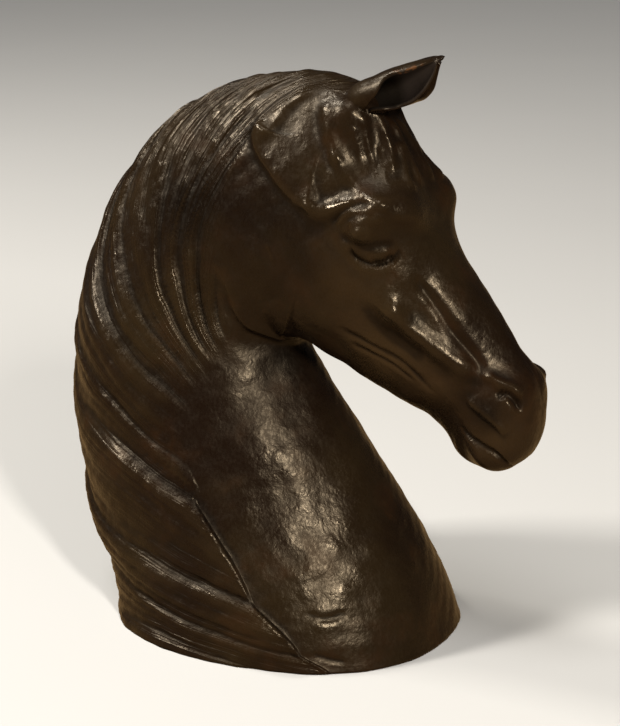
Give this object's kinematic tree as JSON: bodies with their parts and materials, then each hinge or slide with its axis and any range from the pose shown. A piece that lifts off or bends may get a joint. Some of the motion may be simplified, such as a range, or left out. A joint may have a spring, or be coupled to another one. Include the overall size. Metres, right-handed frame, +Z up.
{
  "type": "leather horse head sculpture",
  "caption": "Dark waxed leather bust of a horse, head bent to the arched neck, mane swept in locks, rolled leaf ears pricked forward, standing on its flat underside.",
  "frame": {"origin": "middle of the flat underside", "axes": "+X towards the nose, +Y to the horse's left, +Z up"},
  "size_m": [0.3578, 0.2144, 0.4032],
  "materials": {
    "body_leather": "dark brown moulded leather, waxed and hand polished to a satin gloss",
    "ear_leather": "dark brown leather, glossy outside, matte grey brown inside, worn tan at the rim"
  },
  "bodies": {
    "root": {"horse_head": "body_leather", "right_ear": "ear_leather", "left_ear": "ear_leather"}
  },
  "joints": []
}
